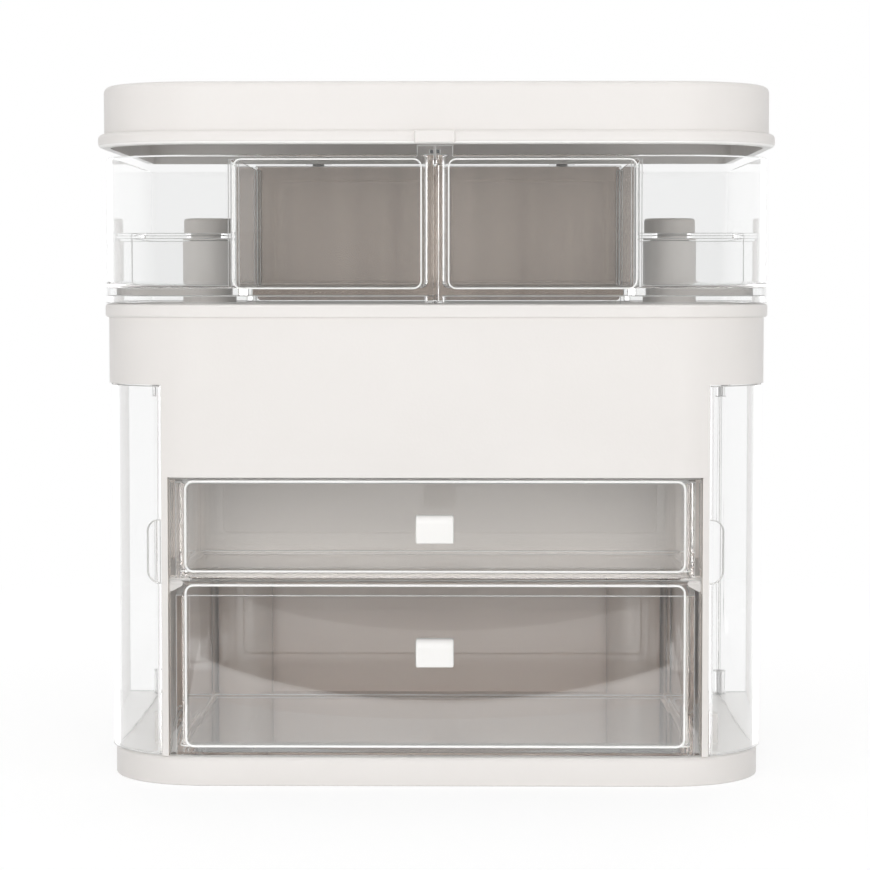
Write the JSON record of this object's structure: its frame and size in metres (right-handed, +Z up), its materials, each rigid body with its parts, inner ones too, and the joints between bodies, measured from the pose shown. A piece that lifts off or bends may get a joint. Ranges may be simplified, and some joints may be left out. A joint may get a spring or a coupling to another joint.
{
  "type": "makeup box",
  "caption": "Upright desktop box for make-up with clear drawers, clear side doors, swing-out top trays, a mirror bin and a hinged lid.",
  "frame": {"origin": "middle of the underside, on the surface that the box stands on", "axes": "+X to the right as seen from the front, the front faces -Y, +Z up"},
  "size_m": [0.315, 0.2261, 0.32],
  "materials": {
    "white_plastic": "satin white moulding",
    "clear_plastic": "clear and glossy",
    "mirror": "tinted mirror",
    "steel": "plain",
    "magnet": "dark plating"
  },
  "bodies": {
    "case": {"base_shell": "white_plastic", "bottom_cover": "white_plastic", "lower_frame": "white_plastic", "upper_housing": "white_plastic", "drawer_runner_left": "white_plastic", "drawer_runner_right": "white_plastic", "pivot_post_left": "white_plastic", "pivot_post_right": "white_plastic", "pivot_cap_left": "white_plastic", "pivot_cap_right": "white_plastic", "tower_bin": "clear_plastic", "side_back_left": "clear_plastic", "side_back_right": "clear_plastic", "base_screws": "steel", "pivot_cap_screws": "steel", "hinge_bracket_left": "steel", "hinge_bracket_right": "steel", "lid_hinge_pin_left": "steel", "lid_hinge_pin_right": "steel", "door_pins_left": "steel", "door_pins_right": "steel", "mirror_plate": "mirror"},
    "lid": {"lid_shell": "white_plastic", "lid_leaf_left": "steel", "lid_leaf_right": "steel"},
    "wing_left": {"wing_tray_left": "clear_plastic", "wing_divider_left": "clear_plastic", "catch_magnet_left": "magnet"},
    "wing_right": {"wing_tray_right": "clear_plastic", "wing_divider_right": "clear_plastic", "catch_magnet_right": "magnet"},
    "drawer_top": {"top_drawer": "clear_plastic", "top_pull": "white_plastic"},
    "drawer_lower": {"lower_drawer": "clear_plastic", "lower_pull": "white_plastic"},
    "door_left": {"side_door_left": "clear_plastic"},
    "door_right": {"side_door_right": "clear_plastic"}
  },
  "joints": [
    {"name": "lid_hinge", "type": "hinge", "parent": "case", "child": "lid", "pos_m": [0, 0.11, 0.2941], "axis": [-1, 0, 0], "range_deg": [0, 100]},
    {"name": "wing_left_swing", "type": "hinge", "parent": "case", "child": "wing_left", "pos_m": [-0.1187, 0.075, 0.2202], "axis": [0, 0, -1], "range_deg": [0, 95]},
    {"name": "wing_right_swing", "type": "hinge", "parent": "case", "child": "wing_right", "pos_m": [0.1187, 0.075, 0.2202], "axis": [0, 0, 1], "range_deg": [0, 95]},
    {"name": "drawer_top_slide", "type": "slide", "parent": "case", "child": "drawer_top", "axis": [0, -1, 0], "range_m": [0, 0.08]},
    {"name": "drawer_lower_slide", "type": "slide", "parent": "case", "child": "drawer_lower", "axis": [0, -1, 0], "range_m": [0, 0.13]},
    {"name": "door_left_hinge", "type": "hinge", "parent": "case", "child": "door_left", "pos_m": [-0.1482, 0.094, 0.098], "axis": [0, 0, -1], "range_deg": [0, 100]},
    {"name": "door_right_hinge", "type": "hinge", "parent": "case", "child": "door_right", "pos_m": [0.1482, 0.094, 0.098], "axis": [0, 0, 1], "range_deg": [0, 100]}
  ]
}
